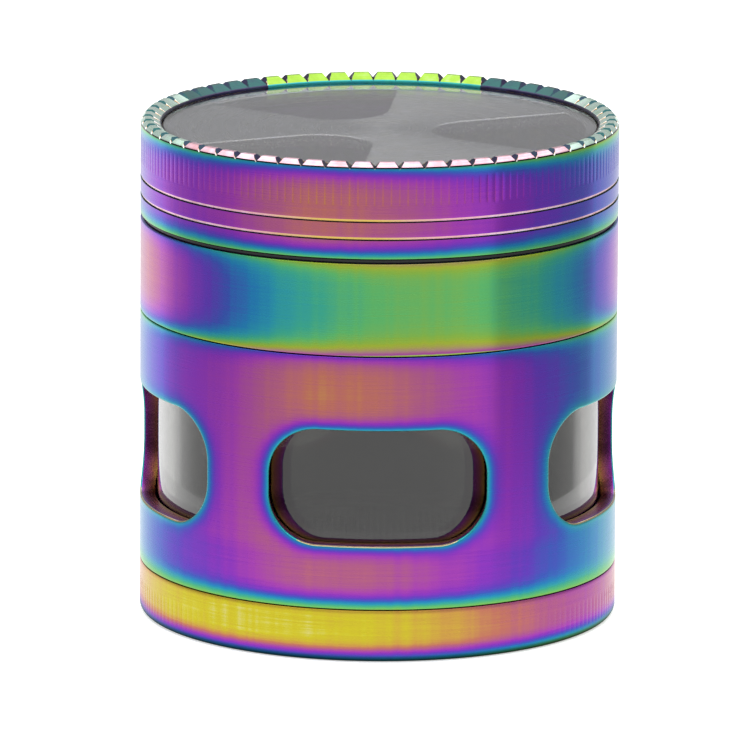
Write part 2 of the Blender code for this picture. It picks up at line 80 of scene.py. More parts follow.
class Shape:
    """Grids of points of one piece, in millimetres, to be welded into one mesh."""

    def __init__(self):
        self.points = []
        self.faces = []
        self.count = 0

    def grid(self, points, flip=False):
        """Adds grids of points (rows, columns, 3) that close round their columns.

        The faces look out from the solid if the rows run down an outer wall and
        the columns run anticlockwise, and the other way with flip.
        """
        points = points.reshape((-1,) + points.shape[-3:])
        index = self.count + np.arange(points[..., 0].size).reshape(points.shape[:3])
        index = np.concatenate([index, index[:, :, :1]], axis=2)
        a, b = index[:, :-1, :-1], index[:, 1:, :-1]
        c, d = index[:, 1:, 1:], index[:, :-1, 1:]
        corners = (a, d, c, b) if flip else (a, b, c, d)
        self.faces.append(np.stack(corners, axis=-1).reshape(-1, 4))
        self.points.append(points.reshape(-1, 3))
        self.count += points[..., 0].size

    def welded(self):
        """Points with their doubles merged, and the faces on them."""
        points = np.concatenate(self.points)
        keys = np.round((points + WELD_SHIFT) / WELD).astype(np.int64)
        _, first, same = np.unique(keys, axis=0, return_index=True, return_inverse=True)
        return points[first], same.reshape(-1)[np.concatenate(self.faces)]


def inset(points, corners, sides):
    """Every face's corners, drawn a twentieth of the way in to the face's middle."""
    face = np.repeat(np.arange(len(sides)), sides)
    place = points[corners]
    sums = [np.bincount(face, weights=place[:, axis]) for axis in range(3)]
    middle = np.stack(sums, axis=-1) / sides[:, None]
    return place + (middle[face] - place) / 20


def make_piece(name, shape, material, node, film=None):
    """Welds a shape into a mesh piece that stands for a CAD node of the same body.

    film gives the coating's colour order.  It is read just inside each face, so
    that it can change sharply at an edge, and kept as an attribute.
    """
    points, faces = shape.welded()
    keep = faces != np.roll(faces, 1, axis=1)
    sides = keep.sum(axis=1)
    keep &= (sides > 2)[:, None]
    sides = sides[sides > 2]
    corners = faces[keep].astype(np.int32)
    starts = np.concatenate([[0], np.cumsum(sides)[:-1]]).astype(np.int32)
    mesh = bpy.data.meshes.new(name)
    mesh.vertices.add(len(points))
    mesh.vertices.foreach_set("co", (points * MM).astype(np.float32).ravel())
    mesh.loops.add(len(corners))
    mesh.loops.foreach_set("vertex_index", corners)
    mesh.polygons.add(len(sides))
    mesh.polygons.foreach_set("loop_start", starts)
    if film is not None:
        order = film(*inset(points, corners, sides).T)
        layer = mesh.attributes.new("film", "FLOAT", "CORNER")
        layer.data.foreach_set("value", order.astype(np.float32))
    mesh.update(calc_edges=True)
    mesh.validate()
    mesh.shade_smooth()
    mesh.set_sharp_from_angle(angle=math.radians(SHARP_ANGLE))
    mesh.materials.append(material)
    piece = bpy.data.objects.new(name, mesh)
    bpy.context.scene.collection.objects.link(piece)
    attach(piece, frame["nodes"][node]["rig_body"])
    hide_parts(node)
    return piece


# --------------------------------------------------------------- turned shapes

# Both threads: one pitch a turn, and a ridge with sloping flanks.
THREAD_PITCH = 1.5
RIDGE_BASE = 0.7
RIDGE_CREST = 0.3
RIDGE_HEIGHT = 0.7


def profile(corners, step):
    """Points on a line through corners given as (radius, height, rounding).

    A rounding of d cuts its corner with a parabola between the two places d away
    from it.  The straight runs are then split into steps of at most step.
    """
    line = []
    for index, corner in enumerate(corners):
        place = np.array(corner[:2], float)
        if len(corner) == 2:
            line.append(place)
            continue
        sides = [np.array(corners[index + way][:2], float) - place for way in (-1, 1)]
        start, end = (place + side / np.linalg.norm(side) * corner[2] for side in sides)
        share = np.linspace(0.0, 1.0, 5)[:, None]
        line.extend((1 - share) ** 2 * start + 2 * share * (1 - share) * place + share**2 * end)
    parts = []
    for start, end in zip(line, line[1:]):
        count = max(1, math.ceil(np.linalg.norm(end - start) / step))
        parts.append(start + (end - start) * np.arange(count)[:, None] / count)
    return np.vstack(parts + [line[-1][None]])


def turned(line, angles):
    """A profile carried round the axis: x = r cos a, y = r sin a, z = height."""
    radius, height = np.asarray(line, float).T
    x = radius[:, None] * np.cos(angles)
    y = radius[:, None] * np.sin(angles)
    return np.stack([x, y, np.broadcast_to(height[:, None], x.shape)], axis=-1)


def even_angles(count, start=0.0):
    """Angles of equal steps once round the axis."""
    return start + TAU * np.arange(count) / count


def threaded(points, root, way, start, turns):
    """Raises a helical ridge on the points that lie on a wall of radius root.

    The ridge's centre climbs one pitch a turn from start on the +X side.  Its
    section is a trapezium, and it fades in and out over a twentieth of a turn.
    """
    angle = np.mod(np.arctan2(points[..., 1], points[..., 0]), TAU)
    radius = np.hypot(points[..., 0], points[..., 1])
    rise = np.zeros_like(radius)
    for lap in range(math.ceil(turns)):
        along = angle / TAU + lap
        off = np.abs(points[..., 2] - start - THREAD_PITCH * along)
        flank = (RIDGE_BASE / 2 - off) / (RIDGE_BASE / 2 - RIDGE_CREST / 2)
        fade = np.clip(along / 0.05, 0, 1) * np.clip((turns - along) / 0.05, 0, 1)
        rise = np.maximum(rise, RIDGE_HEIGHT * np.clip(flank, 0, 1) * fade)
    rise = np.where(np.abs(radius - root) < 0.01, rise, 0.0)
    made = points.copy()
    made[..., :2] *= (1 + way * rise / np.maximum(radius, 1e-9))[..., None]
    return made


# --------------------------------------------------------------- pierced plates


def border(first, last, columns, low, high, rows):
    """Loop round a patch of (angle, other), anticlockwise from its low first corner."""
    across = np.linspace(first, last, columns + 1)
    up = np.linspace(low, high, rows + 1)
    angle = np.concatenate([across[:-1], np.full(rows, last), across[:0:-1], np.full(rows, first)])
    other = np.concatenate([np.full(columns, low), up[:-1], np.full(columns, high), up[:0:-1]])
    return angle, other


def edge_towards(outline, centre, targets):
    """Where the rays from centre to the targets cross a closed outline."""
    away = outline - centre
    angle = np.arctan2(away[:, 1], away[:, 0])
    order = np.argsort(angle)
    reach = np.hypot(away[:, 0], away[:, 1])
    toward = np.arctan2(targets[:, 1] - centre[1], targets[:, 0] - centre[0])
    length = np.interp(toward, angle[order], reach[order], period=TAU)
    return centre + length[:, None] * np.stack([np.cos(toward), np.sin(toward)], axis=-1)


def pierced(loop, edge, top, bottom, rings, chamfer):
    """Rows from a flat border loop in to an opening, down its wall and out below."""
    out = loop - edge
    out /= np.linalg.norm(out, axis=1)[:, None]
    share = np.linspace(0.0, 1.0, rings + 1)[:, None, None]
    face = loop + (edge + out * chamfer - loop) * share
    depth = np.linspace(top - chamfer, bottom + chamfer, 4)
    rows = [np.concatenate([face, np.full(face.shape[:2] + (1,), top)], axis=-1)]
    for height in depth:
        rows.append(np.concatenate([edge, np.full((len(edge), 1), height)], axis=-1)[None])
    rows.append(np.concatenate([face[::-1], np.full(face.shape[:2] + (1,), bottom)], axis=-1))
    return np.concatenate(rows)


def lifted(flat, height):
    """Flat points (rows, columns, 2) with one height to each row."""
    level = np.broadcast_to(height[:, None, None], flat.shape[:2] + (1,))
    return np.concatenate([flat, level], axis=-1)


def copies(points, angles):
    """The same points turned about the axis to each of the angles."""
    turn = np.array([[np.cos(angles), -np.sin(angles)], [np.sin(angles), np.cos(angles)]])
    flat = np.einsum("ijn,...j->n...i", turn, points[..., :2])
    height = np.broadcast_to(points[..., 2:], flat.shape[:-1] + (1,))
    return np.concatenate([flat, height], axis=-1)


# ------------------------------------------------------------------- coin edge

# A notch's half width is a share of the pitch.  Its flanks climb from the floor,
# below its middle, to the rim's top at its edges.
NOTCHES = 61
NOTCH_START = math.radians(-91.14)
NOTCH_HALF = 0.19
NOTCH_FLOOR = 65.4
RIM_TOP = 66.24
NOTCH_SLOPE = (RIM_TOP - NOTCH_FLOOR) / NOTCH_HALF

# A reed is a fine upright groove, three to each notch.  Its half width is again a
# share of the pitch, and it fades out at its ends over so many millimetres.
REED_HALF = 0.045
REED_FADE = 0.15

# The mesh has columns on a notch's edges and on both edges of every reed.  Plain
# surfaces take one column in six, and those between the two kinds repeat it.
COLUMN_FRACTIONS = np.array([0.0, 0.022, 0.05, NOTCH_HALF, 0.2833, 0.3113, 1 / 3, 0.3553, 0.3833])
PITCH_COLUMNS = np.concatenate([[-0.5], -COLUMN_FRACTIONS[:0:-1], COLUMN_FRACTIONS])
FINE_FRACTION = np.tile(PITCH_COLUMNS, NOTCHES)
FINE_NOTCH = np.repeat(np.arange(NOTCHES), len(PITCH_COLUMNS))
FINE_ANGLES = NOTCH_START + (FINE_NOTCH + FINE_FRACTION) * TAU / NOTCHES
COARSENESS = 6
COARSE_ANGLES = FINE_ANGLES[COARSENESS // 2 :: COARSENESS]
SNAPPED_ANGLES = np.repeat(COARSE_ANGLES, COARSENESS)


def reed_offset(place):
    """How far a place, from -0.5 to 0.5 in its pitch, lies from the nearest reed."""
    return np.minimum(np.abs(place), np.abs(np.abs(place) - 1 / 3))


def reeded(points, bottom, top, depth):
    """Cuts the reeds between two heights: each is a V that fades at its ends."""
    across = np.clip(1.0 - reed_offset(FINE_FRACTION) / REED_HALF, 0.0, 1.0)
    height = points[..., 2]
    ends = np.clip((height - bottom) / REED_FADE, 0, 1) * np.clip((top - height) / REED_FADE, 0, 1)
    cut = depth * across * ends
    radius = np.hypot(points[..., 0], points[..., 1])
    made = points.copy()
    made[..., :2] *= (1 - cut / radius)[..., None]
    return made


def coined(line):
    """A rim profile carried round the axis with V notches cut across its crest.

    The columns that stand for a notch's two edges slide to where its flanks,
    height = floor + slope |place in the pitch|, come out of the profile.
    """
    radius, height = line.T[..., None]
    edge = np.clip((height - NOTCH_FLOOR) / NOTCH_SLOPE, 0.05, NOTCH_HALF)
    on_edge = np.isclose(np.abs(FINE_FRACTION), NOTCH_HALF)
    place = np.where(on_edge, np.sign(FINE_FRACTION) * edge, FINE_FRACTION)
    angle = FINE_ANGLES + (place - FINE_FRACTION) * TAU / NOTCHES
    height = np.minimum(height, NOTCH_FLOOR + NOTCH_SLOPE * np.abs(place))
    return np.stack([radius * np.cos(angle), radius * np.sin(angle), height], axis=-1)


# ------------------------------------------------------------- the pieces: lid

# Heights of the two turned grooves, and azimuths of the web's spokes in degrees.
GROOVES = (58.52, 56.17)
SPOKES = (55.0, 175.0, 295.0)


def lid_shape():
    """Lid: coin-edge rim and reeded wall, pierced web, post and hanging teeth."""
    shape = Shape()
    rim = [(28.7, 64.6), (28.75, 65.3), (28.8, 65.4), (28.95, 65.49), (30.2, 66.24), (30.9, 66.24)]
    rim = profile(rim + [(31.42, 65.68), (WALL, 65.5)], 0.26)
    wall = [(WALL, 65.5), (WALL, 64.55), (WALL, 64.4), (WALL, 60.7), (WALL, 60.55)]
    for height in GROOVES:
        wall += [(WALL, height + 0.31), (31.36, height), (31.14, height - 0.02)]
        wall += [(31.14, height - 0.13), (WALL, height - 0.15)]
    wall += [(WALL, 54.8), (WALL, 53.75)]
    foot = [(WALL, 53.75), (31.46, 53.63), (31.3, 53.55), (30.7, 53.55)]
    outer = [coined(rim)]
    outer.append(reeded(turned(profile(wall, 0.42), FINE_ANGLES), 60.55, 64.4, 0.03)[1:])
    outer.append(turned(foot, FINE_ANGLES)[1:])
    outer.append(turned([(30.0, 53.55)], SNAPPED_ANGLES))
    shape.grid(np.concatenate([turned([(28.7, 64.0)], SNAPPED_ANGLES)] + outer))
    shape.grid(turned([(28.1, 63.0), (28.7, 63.0), (28.7, 64.0)], COARSE_ANGLES))
    inside = [(30.0, 53.55), (30.0, 56.9, 0.1), (29.3, 56.9), (29.3, 61.4, 0.4), (28.1, 61.4)]
    shape.grid(turned(profile(inside, 0.8), COARSE_ANGLES))
    post = [(5.0, 61.4), (5.0, 51.4, 0.25), (3.15, 51.4, 0.1), (3.15, 53.6), (0.0, 53.6)]
    shape.grid(turned(profile(post, 0.7), COARSE_ANGLES))
    shape.grid(turned(profile([(0.0, 63.0), (5.0, 63.0)], 1.2), COARSE_ANGLES))
    spoke = np.exp(1j * np.radians(SPOKES[0]))
    first = COARSE_ANGLES[np.argmin(np.abs(np.exp(1j * COARSE_ANGLES) - spoke))]
    middle = np.radians(SPOKES[0] + 60.0)
    start = np.mod(first, TAU) - middle
    third = len(COARSE_ANGLES) // 3
    step = TAU / len(COARSE_ANGLES)
    angle, radius = border(start, start + third * step, third, 5.0, 28.1, 14)
    loop = radius[:, None] * np.stack([np.cos(angle), np.sin(angle)], axis=-1)
    edge = edge_towards(web_opening(), np.array([17.0, 0.0]), loop)
    web = pierced(loop, edge, 63.0, 61.4, 6, 0.15)
    shape.grid(copies(web, middle + np.radians([0.0, 120.0, 240.0])))
    places = []
    for spoke in SPOKES:
        for ring, count, spacing in ((25.2, 4, 14.0), (16.8, 3, 18.0), (8.9, 1, 0.0)):
            places += [(ring, spoke + (i - (count - 1) / 2) * spacing) for i in range(count)]
    shape.grid(teeth(places, 61.7, 50.0))
    return shape


def web_opening():
    """Outline of a web opening that points along +X.

    Its outer side is an arc about the axis, its sides are radii 30 degrees each
    way, and its inner end is the circle that touches both.
    """
    half = math.radians(30.0)
    arc = np.linspace(-half, half, 160)
    outer = 27.0 * np.stack([np.cos(arc), np.sin(arc)], axis=-1)
    swing = np.linspace(np.pi / 2 + half, 1.5 * np.pi - half, 160)
    inner = np.stack([13.8 + 6.9 * np.cos(swing), 6.9 * np.sin(swing)], axis=-1)
    share = np.linspace(0, 1, 120)[1:-1, None]
    left = outer[-1] + (inner[0] - outer[-1]) * share
    right = inner[-1] + (outer[0] - inner[-1]) * share
    return np.concatenate([outer, left, inner, right])


def teeth(places, base, tip):
    """Upright diamond teeth, each an eight-sided loft from its base to its tip.

    The section is a diamond 2.6 by 4.2 with blunt corners.  It shrinks to 0.72
    of that at the tip, whose last 0.25 is chamfered.
    """
    outline = np.array([(1.3, 0.2), (0.15, 2.0), (-0.15, 2.0), (-1.3, 0.2)])
    outline = np.concatenate([outline, -outline])
    way = np.sign(tip - base)
    rows = [(0.0, base), (1.0, base), (0.86, (base + tip) / 2)]
    rows += [(0.73, tip - 0.25 * way), (0.6, tip), (0.0, tip)]
    scale, height = np.array(rows).T
    tooth = lifted(scale[:, None, None] * outline, height)
    if way > 0:
        tooth = tooth[::-1]
    radius, angle = np.array(places).T
    angle = np.radians(angle)
    moved = np.broadcast_to(tooth, (len(places),) + tooth.shape).copy()
    moved[..., 0] += radius[:, None, None]
    x = moved[..., 0] * np.cos(angle)[:, None, None] - moved[..., 1] * np.sin(angle)[:, None, None]
    y = moved[..., 0] * np.sin(angle)[:, None, None] + moved[..., 1] * np.cos(angle)[:, None, None]
    return np.stack([x, y, moved[..., 2]], axis=-1)


# -------------------------------------------------------------------- the tray


def tray_shape():
    """Tray: reeded wall over a rounded heel, threaded rim and smooth bowl."""
    shape = Shape()
    wall = [(30.6, 6.95), (31.3, 6.95), (31.44, 6.91), (WALL, 6.78), (WALL, 4.95), (WALL, 4.8)]
    wall += [(WALL, 1.35), (WALL, 1.0)]
    heel = np.radians(np.linspace(0, -90, 9)[1:])
    heel = np.stack([30.5 + np.cos(heel), 1.0 + np.sin(heel)], axis=-1)
    outer = [turned([(29.9, 6.95)], SNAPPED_ANGLES)]
    outer.append(reeded(turned(profile(wall, 0.4), FINE_ANGLES), 1.2, 4.8, 0.035))
    outer.append(turned(heel, FINE_ANGLES))
    outer.append(turned([(29.6, 0.0)], SNAPPED_ANGLES))
    shape.grid(np.concatenate(outer))
    under = profile([(29.6, 0.0), (0.0, 0.0)], 2.0)
    shape.grid(turned(under, COARSE_ANGLES))
    root = 29.35
    bowl = profile([(0.0, 1.6), (27.8, 1.6, 1.4), (27.8, 3.3), (root, 3.3)], 1.2)
    shape.grid(turned(bowl, COARSE_ANGLES))
    thread = turned(profile([(root, 3.3), (root, 6.35)], 0.1), COARSE_ANGLES)
    shape.grid(threaded(thread, root, -1, 3.85, 1.33))
    shape.grid(turned([(root, 6.35), (29.9, 6.95)], COARSE_ANGLES))
    return shape


def scraper_shape():
    """Scraper: three round lobes with a soft edge and a dished thumb rest.

    Its outline is r = 11.5 (1 + 0.14 cos 3a).  From its edge inwards the top
    rises in a quarter of an ellipse and then dips in a shallow bowl.
    """
    angle = even_angles(96)
    outline = 11.5 * (1 + 0.14 * np.cos(3 * angle))
    rows = [(0.0, 2.9 - 0.45), (0.25, 2.9 - 0.42), (0.45, 2.9 - 0.2), (0.6, 2.9), (0.88, 2.9)]
    rows += [(0.94, 2.86), (0.98, 2.74), (1.0, 2.55), (1.0, 1.95), (0.985, 1.76), (0.96, 1.7)]
    rows += [(0.5, 1.7), (0.0, 1.7)]
    share, height = np.array(rows).T
    radius = share[:, None] * outline
    flat = np.stack([radius * np.cos(angle), radius * np.sin(angle)], axis=-1)
    turn = np.radians([35.0])
    points = copies(lifted(flat, height), turn)[0] + np.array([6.0, -5.0, 0.0])
    shape = Shape()
    shape.grid(points)
    return shape


# ----------------------------------------------------------- the windowed body

SECTOR_COLUMNS = 48
WINDOW_HALF_WIDTH = WALL * math.sin(math.radians(26.7))
WINDOW_HALF_HEIGHT = 7.65
WINDOW_CORNER = 6.3
WINDOW_MIDDLE = 23.15
SECTOR_BOTTOM, SECTOR_TOP = 11.3, 35.0
EDGE_ROUND = 0.32


def window_distance(x, z):
    """How far a point of the chord plane lies outside a window's rounded outline."""
    qx = np.abs(x) - (WINDOW_HALF_WIDTH - WINDOW_CORNER)
    qz = np.abs(z - WINDOW_MIDDLE) - (WINDOW_HALF_HEIGHT - WINDOW_CORNER)
    outside = np.hypot(np.maximum(qx, 0), np.maximum(qz, 0))
    return outside + np.minimum(np.maximum(qx, qz), 0) - WINDOW_CORNER


def window_sector():
    """One fifth of the body's wall with its window, seen along +Y.

    Loops run from the sector's border in to the window's outline along its
    normals, over its rounded edge, through the wall, and out over the bore.
    """
    angle, height = border(-np.pi / 5, np.pi / 5, SECTOR_COLUMNS, SECTOR_BOTTOM, SECTOR_TOP, 28)
    target = np.stack([WALL * np.sin(angle), height], axis=-1)
    core = np.array([WINDOW_HALF_WIDTH - WINDOW_CORNER, WINDOW_HALF_HEIGHT - WINDOW_CORNER])
    middle = np.array([0.0, WINDOW_MIDDLE])
    nearest = middle + np.clip(target - middle, -core, core)
    out = target - nearest
    out /= np.linalg.norm(out, axis=1)[:, None]
    edge = nearest + out * WINDOW_CORNER
    rows = []

    def row(flat, wall, depth):
        """A loop on the wall of that radius, sunk along +Y by depth."""
        y = -np.sqrt(wall**2 - flat[:, 0] ** 2) + depth
        rows.append(np.stack([flat[:, 0], y, flat[:, 1]], axis=-1))

    start = edge + out * EDGE_ROUND
    for share in np.linspace(0.0, 1.0, 17) ** 0.62:
        row(target + (start - target) * share, WALL, 0.0)
    for swing in np.radians([22.5, 45.0, 67.5, 90.0]):
        lean = EDGE_ROUND * (1 - np.sin(swing))
        row(edge + out * lean, WALL, EDGE_ROUND * (1 - np.cos(swing)))
    front = rows[-1]
    row(edge, BORE, -0.12)
    back = rows.pop()
    for share in (0.25, 0.5, 0.75, 1.0):
        rows.append(front + (back - front) * share)
    inner = np.stack([BORE * np.sin(angle), height], axis=-1)
    begin = edge + out * 0.12
    for share in np.linspace(0.0, 1.0, 8):
        row(begin + (inner - begin) * share, BORE, 0.0)
    return np.stack(rows)


def body_shape():
    """Windowed body: five window sectors between a threaded spigot and a thread."""
    shape = Shape()
    around = even_angles(5 * SECTOR_COLUMNS, -np.pi / 2 - np.pi / 5)
    shape.grid(copies(window_sector(), even_angles(5)), flip=True)
    root = 30.15
    shape.grid(turned([(BORE, SECTOR_TOP), (BORE, 35.6), (root, 35.6)], around))
    thread = turned(profile([(root, 35.6), (root, 40.0)], 0.1), around)
    shape.grid(threaded(thread, root, -1, 36.2, 2.2))
    top = [(root, 40.0), (30.6, 40.6), (WALL, 40.6, 0.2), (WALL, SECTOR_TOP)]
    shape.grid(turned(profile(top, 0.3), around))
    root = 28.35
    low = [(WALL, SECTOR_BOTTOM), (WALL, 7.05, 0.2), (root, 7.05)]
    shape.grid(turned(profile(low, 0.3), around))
    spigot = turned(profile([(root, 7.05), (root, 3.9)], 0.1), around)
    shape.grid(threaded(spigot, root, 1, 4.6, 1.2))
    bore = [(root, 3.9), (28.05, 3.6), (27.3, 3.6), (27.0, 3.9), (27.0, 8.0), (25.9, 8.0, 0.1)]
    bore += [(25.9, 9.0, 0.1), (BORE, 9.0), (BORE, SECTOR_BOTTOM)]
    shape.grid(turned(profile(bore, 0.8), around))
    return shape


def liner_shape(low, high, rounding):
    """Tube behind the windows, or a soft ring at its end, with eased edges."""
    middle = (low + high) / 2
    section = [(29.2, middle), (29.2, low, rounding), (26.9, low, rounding)]
    section += [(26.9, high, rounding), (29.2, high, rounding), (29.2, middle)]
    shape = Shape()
    shape.grid(turned(profile(section, 2.5), even_angles(192)))
    return shape


def sieve_shape():
    """Woven screen: two crossing sets of wires inside a pressed rim.

    A wire along x lies at height 0.075 cos(pi x / pitch), in turn over and under
    the wires that it crosses, and ends inside the rim.  Real screens have three
    wires to each one here, which would be too fine to show.
    """
    pitch, wire, inside = 0.9, 0.07, 26.45
    count = int(inside / pitch)
    lane = np.arange(-count, count + 1)
    offset = lane * pitch
    half = np.sqrt(inside**2 - offset**2)
    samples = np.arange(-2 * count - 2, 2 * count + 3) * pitch / 2
    along = np.clip(samples, -half[:, None], half[:, None])
    wave = 0.075 * np.cos(np.pi * (along / pitch + lane[:, None]))
    width = np.full(along.shape, wire)
    width[:, [0, -1]] = 0.0
    corner = even_angles(4)
    shape = Shape()
    for swap in (False, True):
        side = offset[:, None, None] + width[..., None] * np.cos(corner)
        lift = 7.7 + (-wave if swap else wave)[..., None] + width[..., None] * np.sin(corner)
        run = np.broadcast_to(along[..., None], side.shape)
        axes = (side, run, lift) if swap else (run, side, lift)
        shape.grid(np.stack(axes, axis=-1), flip=not swap)
    section = [(26.85, 7.7), (26.85, 7.55, 0.06), (26.25, 7.55, 0.06), (26.25, 7.85, 0.06)]
    section += [(26.85, 7.85, 0.06), (26.85, 7.7)]
    shape.grid(turned(profile(section, 1.0), even_angles(192)))
    return shape


def snap_ring_shape():
    """Split ring under the screen: an eased square section swept 347 degrees."""
    gap = math.asin(3.0 / 26.4)
    sweep = np.linspace(np.pi / 2 + gap, np.pi / 2 - gap + TAU, 180)
    section = [(26.85, 6.8), (26.85, 6.2, 0.15), (25.9, 6.2, 0.15), (25.9, 7.4, 0.15)]
    section += [(26.85, 7.4, 0.15), (26.85, 6.8)]
    line = profile(section, 0.5)[:-1]
    sweep = np.concatenate([sweep[:1], sweep, sweep[-1:]])
    size = np.concatenate([[0.0], np.ones(len(sweep) - 2), [0.0]])
    centre = np.array([26.375, 6.8])
    section = centre + (line - centre) * size[:, None, None]
    x = section[..., 0] * np.cos(sweep)[:, None]
    y = section[..., 0] * np.sin(sweep)[:, None]
    shape = Shape()
    shape.grid(np.stack([x, y, section[..., 1]], axis=-1), flip=True)
    return shape


# ------------------------------------------------------------- grinding chamber

# The toothed floor.  Each ring of holes has the radius that its holes lie on, their
# number, and the radii of the band that they fill.
FLOOR_TOP, FLOOR_BOTTOM = 48.0, 45.6
HOLE_TURN = math.radians(3.3)
HOLE_RADIUS = 1.5
HOLE_RINGS = ((25.0, 16, 22.6, 27.2), (16.8, 12, 14.6, 19.0), (9.1, 6, 6.9, 11.3))


def chamber_shape():
    """Grinding chamber: neck over a shoulder, pierced toothed floor, spigot."""
    shape = Shape()
    around = even_angles(192, HOLE_TURN)
    boss = [(0.0, 48.4), (3.15, 48.4), (3.15, 50.6, 0.1), (5.0, 50.6, 0.3), (5.0, FLOOR_TOP)]
    shape.grid(turned(profile(boss, 0.8), around))
    wall = [(27.2, FLOOR_TOP), (27.6, 48.4), (27.6, 60.3), (27.9, 60.6), (28.6, 60.6)]
    wall += [(28.9, 60.3)]
    root = 29.15
    wall += [(28.9, 52.95), (WALL, 52.95, 0.2), (WALL, 40.72, 0.2), (root, 40.72)]
    shape.grid(turned(profile(wall, 0.3), around))
    spigot = turned(profile([(root, 40.72), (root, 36.0)], 0.1), around)
    shape.grid(threaded(spigot, root, 1, 36.95, 2.1))
    bore = [(root, 36.0), (28.85, 35.7), (27.5, 35.7), (27.2, 36.1), (27.2, FLOOR_BOTTOM)]
    shape.grid(turned(profile(bore, 0.8), around))
    for inner, outer in ((5.0, 6.9), (11.3, 14.6), (19.0, 22.6)):
        shape.grid(turned(profile([(inner, FLOOR_TOP), (outer, FLOOR_TOP)], 1.5), around))
    for outer, inner in ((22.6, 19.0), (14.6, 11.3), (6.9, 0.0)):
        shape.grid(turned(profile([(outer, FLOOR_BOTTOM), (inner, FLOOR_BOTTOM)], 1.5), around))
    for ring, count, low, high in HOLE_RINGS:
        half = np.pi / count
        angle, radius = border(-half, half, 192 // count, low, high, 6)
        loop = radius[:, None] * np.stack([np.cos(angle), np.sin(angle)], axis=-1)
        centre = np.array([ring, 0.0])
        circle = even_angles(360)
        rim = centre + HOLE_RADIUS * np.stack([np.cos(circle), np.sin(circle)], axis=-1)
        edge = edge_towards(rim, centre, loop)
        cell = pierced(loop, edge, FLOOR_TOP, FLOOR_BOTTOM, 3, 0.15)
        shape.grid(copies(cell, HOLE_TURN + even_angles(count)))
    places = []
    for radius, count in ((21.0, 14), (12.5, 8)):
        places += [(radius, 360.0 * (index + 0.5) / count) for index in range(count)]
    shape.grid(teeth(places, 47.7, 59.4))
    return shape


def magnet_shape(bottom):
    """Disc magnet with eased edges."""
    shape = Shape()
    line = [(0.0, bottom + 2.0), (3.0, bottom + 2.0, 0.15), (3.0, bottom, 0.15), (0.0, bottom)]
    shape.grid(turned(profile(line, 0.8), even_angles(96)))
    return shape


def friction_ring_shape():
    """Black ring with a flange under the lid and a sleeve inside it."""
    section = [(29.8, 55.0), (29.8, 53.45), (31.1, 53.45, 0.08), (31.1, 53.05, 0.08)]
    section += [(29.1, 53.05, 0.05), (29.1, 56.5, 0.1), (29.8, 56.5, 0.1), (29.8, 55.0)]
    shape = Shape()
    shape.grid(turned(profile(section, 0.8), even_angles(192)))
    return shape


def disc_shape():
    """Clear disc in the lid, with a small chamfer round its upper edge."""
    line = [(0.0, 65.1), (28.48, 65.1), (28.62, 64.96), (28.62, 63.1, 0.05), (0.0, 63.1)]
    shape = Shape()
    shape.grid(turned(profile(line, 2.0), even_angles(192)))
    return shape


# ------------------------------------------------- order of the coating's colour

# Up to about 13.6 an order stands for a thickness of the film, and the colours run
# on through it.  The higher ones are painted light on the rim, grooves and narrow
# edges: painted reflections by azimuth, painted highlights and painted shade.
LIME_FILM = 14.5
MINT_FILM = 15.2
# Painted highlight where a notch flank's outer end catches the light.
PAINTED_HIGHLIGHT_FILM = 15.5
PINK_FILM = 16.0
# Near-black painted shade and painted dark reflection on narrow edges and in grooves.
PAINTED_SHADE_FILM = 18.0
# Dark violet painted shade in the notches and inside the rim.
VIOLET_FILM = 18.6
DEEP_TEAL_FILM = 19.2


def facing(x, y):
    """Azimuth from the front, -Y, towards +X."""
    return np.arctan2(x, -y)


def inner_film(x, y, z):
    """Gentle swing of the colour on surfaces inside a piece."""
    return 3.0 + 1.2 * np.sin(facing(x, y) + 0.4) ** 2 + 0.8 * np.sin(z * 0.35)


def bell(offset, width):
    """Falls from 1 to 1 / e at width on either side."""
    return np.exp(-((offset / width) ** 2))


def notches_round(x, y):
    """Azimuth counted in pitches from the first notch's middle."""
    return (np.arctan2(y, x) - NOTCH_START) * NOTCHES / TAU


def rim_film(x, y, z):
    """Colour order on the coin edge: one for each land, and one for its notches.

    A land is painted pink in front, mint at the sides, dark teal behind them and
    yellow-green at the back: painted reflections of the light from each side.  The
    flanks are dark violet painted shade, teal at the sides, with a painted highlight
    at their outer ends.  The wall inside the rim is dark violet painted shade, and teal
    at the back.  The outer edge is a painted dark reflection.
    """
    radius = np.hypot(x, y)
    middle = NOTCH_START + (np.floor(notches_round(x, y)) + 0.5) * TAU / NOTCHES
    front = -np.sin(middle)
    back = front <= -0.87
    # Lands: painted reflections of the light from each azimuth.
    land = np.select([front > 0.6, front > -0.5, ~back], [PINK_FILM, MINT_FILM, DEEP_TEAL_FILM],
                     LIME_FILM)
    crest = np.interp(radius, [28.8, 30.2, 30.9, 31.42, WALL],
                      [NOTCH_FLOOR, RIM_TOP, RIM_TOP, 65.68, 65.5])
    sides = np.cos(middle) ** 4
    flank = VIOLET_FILM + (DEEP_TEAL_FILM - VIOLET_FILM) * sides
    # The flank's outer end gets a painted highlight.
    flank = np.where(radius > 31.12, PAINTED_HIGHLIGHT_FILM, flank)
    film = np.where(crest - z > 0.008, flank, land)
    # Inside the rim: dark violet painted shade, teal at the back.
    film = np.where(radius < 28.95, np.where(back, 7.8, VIOLET_FILM), film)
    # A painted dark reflection along the rim's outer edge.
    return np.where(radius > 31.42, PAINTED_SHADE_FILM, film)


